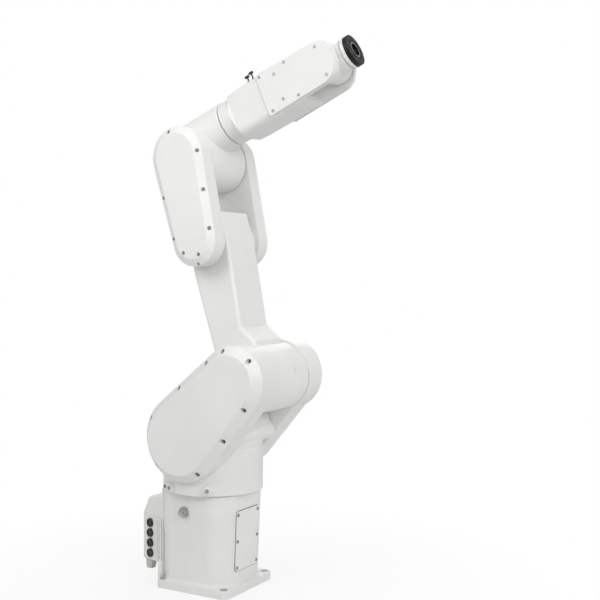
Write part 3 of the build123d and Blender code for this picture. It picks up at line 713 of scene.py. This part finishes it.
class ARM_OT_base_trim(bpy.types.Operator):
    """Adds the access cover's screws, a near-black frame of painted shade in its joint, and the screws of the
    stop plate
    """

    bl_idname = "arm.base_trim"
    bl_label = "Base Trim"

    def execute(self, context):
        radius = context.scene.arm_screws.access_head
        fall, height = FRONT_LEAN
        lean = atan2(fall, height)
        cover, sunk = 0.002, 0.0006
        places = []
        for y in (-0.0445, 0.0445):
            for z in (0.063, 0.130, 0.197):
                skin = BASE_FRONT + (z - FOOT_TOP) * fall / height + cover - sunk
                tilt = turned((cos(lean), 0.10 * (1 if y > 0 else -1), -sin(lean)), (0, 1, 0))
                places.append(Matrix.Translation((skin, y, z)) @ tilt)
        master = socket_screw(radius, radius * 0.5, 0.001)
        placed(master, "access_cover_screws", places, "base", "screw")

        # A near-black frame laid on the base round the access cover: painted shade in its joint.
        width = context.scene.arm_details.seam_width
        low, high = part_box("front_access_cover")
        clear_selection()
        bpy.ops.mesh.primitive_plane_add(
            size=1.0, location=(0.112, 0.0, (low[2] + high[2]) / 2), rotation=(0, pi / 2, 0))
        seam_shade_frame = context.object
        seam_shade_frame.scale = (high[2] - low[2] + 2 * width, high[1] - low[1] + 2 * width, 1.0)
        bpy.ops.object.transform_apply(location=True, rotation=True, scale=True)
        pick(seam_shade_frame, "VERT", lambda co: True)
        bpy.ops.mesh.bevel(offset=0.009, segments=5, affect="VERTICES")
        pick(seam_shade_frame, "FACE", lambda c, n: True)
        bpy.ops.mesh.inset(thickness=width + 0.0006)
        bpy.ops.mesh.delete(type="FACE")
        bpy.ops.mesh.select_all(action="SELECT")
        bpy.ops.mesh.subdivide(number_cuts=7)
        bpy.ops.object.mode_set(mode="OBJECT")
        wrap = seam_shade_frame.modifiers.new("lay_on_base", "SHRINKWRAP")
        wrap.target = frame["nodes"]["base_casting"]
        wrap.wrap_method = "PROJECT"
        wrap.use_project_x = True
        wrap.use_project_y = False
        wrap.use_project_z = False
        wrap.use_negative_direction = True
        wrap.use_positive_direction = False
        wrap.offset = 0.0004
        bpy.ops.object.modifier_apply(modifier="lay_on_base")
        seam_shade_frame.name = "access_cover_seam_shade"
        done(seam_shade_frame, "base", finishes()["gap"])

        places = []
        turn = radians(-116.0)
        outward = Vector((cos(turn), sin(turn), 0.0))
        across = Vector((-sin(turn), cos(turn), 0.0))
        for step in (-0.012, 0.012):
            spot = outward * 0.136 + across * step + Vector((0.0, 0.0, 0.2655))
            places.append(Matrix.Translation(spot) @ turned(outward, (0, 0, 1)))
        master = socket_screw(0.0047, 0.0030, 0.001)
        placed(master, "stop_plate_screws", places, "turret", "screw")
        return report_done(self, "base trim on")


class ARM_OT_connector_details(bpy.types.Operator):
    """Builds the signal connectors, the power socket, the marking strip and a grey strip of painted shade in
    the joint of the housing and the column
    """

    bl_idname = "arm.connector_details"
    bl_label = "Connector Details"

    def execute(self, context):
        details = context.scene.arm_details
        run = Vector((-0.140, 0.037, 0.0))
        slope = run.normalized()
        out = Vector((-0.037, -0.140, 0.0)).normalized()
        along = run.length - 0.012 - 0.003 - 0.035
        middle = Vector((-0.055, -0.092, 0.052 + 0.003 + 0.057)) + slope * along
        face = turned(out, tuple(-slope))
        ring = flat_ring(0.0104, 0.0070, 0.0060, details.ring_teeth * 2)
        teeth = 2 * pi / details.ring_teeth

        def on_tooth(centre, normal):
            if centre.xy.length < 0.0097 or abs(normal.z) > 0.5:
                return False
            return (atan2(centre.y, centre.x) / teeth) % 1.0 < 0.5

        pick(ring, "FACE", on_tooth)
        bpy.ops.mesh.extrude_faces_move(TRANSFORM_OT_shrink_fatten={"value": 0.0006})
        bpy.ops.mesh.select_all(action="SELECT")
        bpy.ops.mesh.normals_make_consistent(inside=False)
        bpy.ops.object.mode_set(mode="OBJECT")
        drops = [(1.5 - number) * 0.0265 for number in range(4)]
        places = [
            Matrix.Translation(middle + slope * 0.010 + Vector((0, 0, drop)) + out * 0.0055) @ face
            for drop in drops]
        rings = copies(ring, "connector_rings", places)
        discard(ring)
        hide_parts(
            "signal_connector_1", "signal_connector_2", "signal_connector_3", "signal_connector_4")
        done(rings, "base", finishes()["plug"])
        core = round_pin(0.0074, -0.0024, 0.0008, 0.0004)
        placed(core, "connector_cores", places, "base", "plug")
        skirt = flat_ring(0.0124, 0.0098, 0.0010, 48)
        behind = [place @ Matrix.Translation((0, 0, -0.0021)) for place in places]
        placed(skirt, "connector_skirts", behind, "base", "fitting")

        clear_selection()
        bpy.ops.mesh.primitive_cylinder_add(vertices=12, radius=0.0007, depth=0.006)
        pin = context.object
        crown(pin, 0.0003, 0.0004)
        bpy.ops.object.mode_set(mode="OBJECT")
        pins_each, pin_circle = 7, 0.0042
        turns = [2 * pi * number / pins_each for number in range(pins_each)]
        shifts = [Vector((pin_circle * cos(t), pin_circle * sin(t), -0.0012)) for t in turns]
        spots = [place @ Matrix.Translation(shift) for place in places for shift in shifts]
        placed(pin, "connector_pins", spots, "base", "fitting")

        strip = plain_block((0.012, 0.100, 0.0012))
        stepped(strip, 1, (0.0009, -0.0005))
        rib = plain_block((0.0100, 0.0022, 0.0009))
        crown(rib, 0.0005, 0.0003)
        bpy.ops.object.mode_set(mode="OBJECT")
        count = details.strip_ribs
        pitch = 0.094 / count
        lows = [Matrix.Translation((0, (n - (count - 1) / 2) * pitch, 0.0003)) for n in range(count)]
        ribs = copies(rib, "marking_ribs", lows)
        discard(rib)
        strip = joined("marking_strip", [strip, ribs])
        strip.data.transform(Matrix.Translation(middle - slope * 0.022 + out * 0.0036) @ face)
        done(strip, "base", finishes()["label"])

        # A grey strip at the column's edge: painted shade in the joint of the housing and the column.
        housing_shade_strip = soft_block((0.0035, 0.118, 0.0012), (0, 0, 0), 0.0004, 2)
        housing_shade_strip.data.transform(Matrix.Translation(middle + slope * (0.0515 - along) + out * 0.0003) @ face)
        housing_shade_strip.name = "housing_joint_shade_strip"
        done(housing_shade_strip, "base", finishes()["strip"])
        socket = soft_block((0.0200, 0.0200, 0.0200), (-0.1730, -0.046, 0.0420), 0.0015)
        stepped(socket, -1, (0.0014, -0.0062))
        socket.name = "power_socket_shell"
        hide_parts("power_socket")
        done(socket, "base", finishes()["socket"])
        return report_done(self, "connectors detailed")


class ARM_OT_turret_trim(bpy.types.Operator):
    """Adds the lips in the shoulder's joints, the fillet and root of the nose, and the round stop"""

    bl_idname = "arm.turret_trim"
    bl_label = "Turret Trim"

    def execute(self, context):
        ring = flat_ring(0.0862, 0.0780, 0.0007, 128)
        spots = [(side, Vector((SHOULDER[0], side * 0.0787, SHOULDER[1]))) for side in (-1, 1)]
        places = [Matrix.Translation(spot) @ turned((0, side, 0)) for side, spot in spots]
        placed(ring, "shoulder_joint_lips", places, "turret", "casting")

        half = 0.0783
        clear_selection()
        bpy.ops.mesh.primitive_cone_add(
            vertices=128, radius1=0.1257, radius2=0.1335, depth=0.036, location=(0, 0, 0.384))
        fillet = context.object
        bpy.ops.object.transform_apply(location=True, rotation=True, scale=True)
        for spot, way in (((0.06, 0, 0), (-1, 0, 0)), ((0, half, 0), (0, 1, 0)), ((0, -half, 0), (0, -1, 0))):
            pick(fillet, "FACE", lambda c, n: True)
            bpy.ops.mesh.bisect(plane_co=spot, plane_no=way, use_fill=True, clear_outer=True)
            bpy.ops.object.mode_set(mode="OBJECT")
        fillet.name = "nose_fillet"
        done(fillet, "turret", finishes()["casting"])

        rear, front, low, high = 0.060, 0.1285, 0.4100, 0.4500
        size = (front - rear, 2 * half, high - low)
        root = plain_block(size, ((rear + front) / 2, 0.0, (low + high) / 2))
        pick(root, "EDGE", lambda co: co.x > 0.1 and co.z > 0.43)
        bpy.ops.transform.translate(value=(-0.0135, 0, 0))
        pick(root, "EDGE", lambda co: co.x > 0.113)
        bpy.ops.mesh.bevel(offset=0.006, segments=4)
        bpy.ops.object.mode_set(mode="OBJECT")
        root.name = "nose_root"
        done(root, "turret", finishes()["casting"])

        turn = radians(-63.0)
        outward = Vector((cos(turn), sin(turn), 0.0))
        place = Matrix.Translation(Vector((0.0, 0.0, 0.266)) + outward * 0.120) @ turned(outward, (0, 0, 1))
        cup = round_pin(0.0112, 0.0, 0.0150, 0.0015)
        stepped(cup, 1, (0.0040, -0.0016))
        boss = copies(cup, "round_stop_boss", [place])
        discard(cup)
        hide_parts("front_stop_lug")
        done(boss, "turret", finishes()["casting"])
        core = round_pin(0.0042, 0.008, 0.0152, 0.0010)
        placed(core, "round_stop_button", [place], "turret", "screw")
        return report_done(self, "turret trimmed")


class ARM_OT_foot_trim(bpy.types.Operator):
    """Adds machined seats round the foot's holes, darkened as painted shade of the holes, and the web and rib
    behind the column
    """

    bl_idname = "arm.foot_trim"
    bl_label = "Foot Trim"

    def execute(self, context):
        # Dark steel rings round the foot's holes: machined seats, darkened as painted shade of the holes.
        ring = flat_ring(0.0090, 0.0066, 0.0005, 40)
        hole = 0.094
        places = [Matrix.Translation((x, y, FOOT_TOP + 0.0001)) for x in (-hole, hole) for y in (-hole, hole)]
        placed(ring, "foot_hole_shade_seats", places, "base", "seat")

        web = soft_block((0.050, 0.166, 0.040), (-0.0840, 0.0, 0.0385), 0.0090, 4)
        rib = soft_block((0.0072, 0.200, 0.044), (-0.1062, 0.0, 0.0400), 0.0030, 3)
        web = joined("base_rear_web", [web, rib])
        done(web, "base", finishes()["casting"])
        return report_done(self, "foot trimmed")


class ARM_OT_hose_fittings(bpy.types.Operator):
    """Builds the two push-in fittings on the forearm with their nuts and collets"""

    bl_idname = "arm.hose_fittings"
    bl_label = "Hose Fittings"

    def execute(self, context):
        top, aside = 0.112, -0.038
        bodies, nuts = [], []
        for reach, lift in ((0.2185, 0.0155), (0.2325, 0.0195)):
            foot, head = on_forearm(reach, top, aside), on_forearm(reach, top + lift, aside)
            base = Matrix.Translation(foot) @ turned(UP_FROM_FOREARM, ALONG_FOREARM)
            stem = round_pin(0.0020, 0.003, lift, 0.0004, 20)
            stem.data.transform(base)
            barrel = round_pin(0.0034, -0.0055, 0.0052, 0.0009, 24)
            stepped(barrel, -1, (0.0008, -0.0016), (0.0008, 0.0040))
            barrel.data.transform(Matrix.Translation(head) @ turned(ALONG_FOREARM, UP_FROM_FOREARM))
            bodies += [stem, barrel]
            nut = round_pin(0.0042, 0.0, 0.0040, 0.0005, 6)
            nut.data.transform(base)
            nuts.append(nut)
        fittings = joined("hose_fitting_bodies", bodies)
        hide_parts("hose_fitting_1", "hose_fitting_2")
        done(fittings, "forearm", finishes()["plug"])
        done(joined("hose_fitting_nuts", nuts), "forearm", finishes()["bright"])
        return report_done(self, "hose fittings built")


class ARM_OT_flange_details(bpy.types.Operator):
    """Adds the rims of the flange's holes, black discs of painted shade in them, the webs in its bore and the
    bore's lip
    """

    bl_idname = "arm.flange_details"
    bl_label = "Flange Details"

    def execute(self, context):
        middle = on_forearm(WRIST_REACH + FLANGE_REACH, ROLL_LIFT, 0.0)
        face = Matrix.Translation(middle) @ turned(ALONG_FOREARM, (0, 1, 0))
        hole_circle, holes = 0.0320, 8

        def around(radius, count, first, lift):
            turns = [first + 2 * pi * n / count for n in range(count)]
            return [face @ Matrix.Translation((radius * cos(t), radius * sin(t), lift)) for t in turns]

        rim = flat_ring(0.0040, 0.0031, 0.0005, 32)
        over = around(hole_circle, holes, pi / holes, 0.0002)
        placed(rim, "flange_hole_rims", over, "tool_flange", "worn")
        # Black discs just proud of the face: painted shade standing for the dark of the flange's holes.
        hole_shade_disc = round_pin(0.0031, -0.001, 0.00012, 0.00005, 24)
        level = around(hole_circle, holes, pi / holes, 0.0)
        placed(hole_shade_disc, "flange_hole_shade_discs", level, "tool_flange", "plug")
        web = soft_block((0.0148, 0.0024, 0.0030), (0.0078, 0.0, -0.0042), 0.0006, 2)
        placed(web, "flange_core_webs", around(0.0, 6, 0.3, 0.0), "tool_flange", "worn")
        lip = flat_ring(0.0200, 0.0160, 0.0006, 64)
        place = face @ Matrix.Translation((0, 0, 0.0002))
        placed(lip, "flange_bore_lip", [place], "tool_flange", "worn")
        return report_done(self, "flange detailed")


class ARM_OT_arm_marks(bpy.types.Operator):
    """Adds the small zero mark at the shoulder"""

    bl_idname = "arm.arm_marks"
    bl_label = "Zero Mark"

    def execute(self, context):
        mark = plain_block((0.0030, 0.0140, 0.0016))
        stepped(mark, 1, (0.0006, -0.0006))
        turn = radians(14.0)
        outward = Vector((cos(turn), 0.0, sin(turn)))
        spot = Vector((SHOULDER[0], 0.015, SHOULDER[1])) + outward * 0.0872
        place = Matrix.Translation(spot) @ turned(outward, (0, 1, 0))
        placed(mark, "shoulder_zero_mark", [place], "lower_arm", "cover")
        return report_done(self, "mark on")


class ARM_PT_panel(bpy.types.Panel):
    """Lists the steps that dress the arm."""

    bl_label = "Robot Arm"
    bl_idname = "ARM_PT_panel"
    bl_space_type = "VIEW_3D"
    bl_region_type = "UI"
    bl_category = "Robot Arm"

    def draw(self, context):
        for operator in OPERATORS:
            self.layout.operator(operator.bl_idname)
        for group in (context.scene.arm_screws, context.scene.arm_details, context.scene.arm_finish):
            for name in group.__annotations__:
                self.layout.prop(group, name)


GROUPS = (ArmScrewSettings, ArmDetailSettings, ArmFinishSettings)
OPERATORS = (
    ARM_OT_stage, ARM_OT_finishes, ARM_OT_shoulder_screws, ARM_OT_elbow_screws, ARM_OT_forearm_screws,
    ARM_OT_base_trim, ARM_OT_connector_details, ARM_OT_turret_trim, ARM_OT_foot_trim, ARM_OT_hose_fittings,
    ARM_OT_flange_details, ARM_OT_arm_marks,
)


def register():
    """Registers the settings, the operators and the panel."""
    for kind in (*GROUPS, *OPERATORS, ARM_PT_panel):
        bpy.utils.register_class(kind)
    bpy.types.Scene.arm_screws = PointerProperty(type=ArmScrewSettings)
    bpy.types.Scene.arm_details = PointerProperty(type=ArmDetailSettings)
    bpy.types.Scene.arm_finish = PointerProperty(type=ArmFinishSettings)


def unregister():
    """Takes the settings, the operators and the panel out again."""
    del bpy.types.Scene.arm_screws, bpy.types.Scene.arm_details, bpy.types.Scene.arm_finish
    for kind in reversed((*GROUPS, *OPERATORS, ARM_PT_panel)):
        bpy.utils.unregister_class(kind)


def main():
    """Dresses the arm step by step."""
    register()
    bpy.ops.arm.stage()
    bpy.ops.arm.finishes()
    bpy.ops.arm.shoulder_screws()
    bpy.ops.arm.elbow_screws()
    bpy.ops.arm.forearm_screws()
    bpy.ops.arm.base_trim()
    bpy.ops.arm.connector_details()
    bpy.ops.arm.turret_trim()
    bpy.ops.arm.foot_trim()
    bpy.ops.arm.hose_fittings()
    bpy.ops.arm.flange_details()
    bpy.ops.arm.arm_marks()


if __name__ == "__main__":
    main()
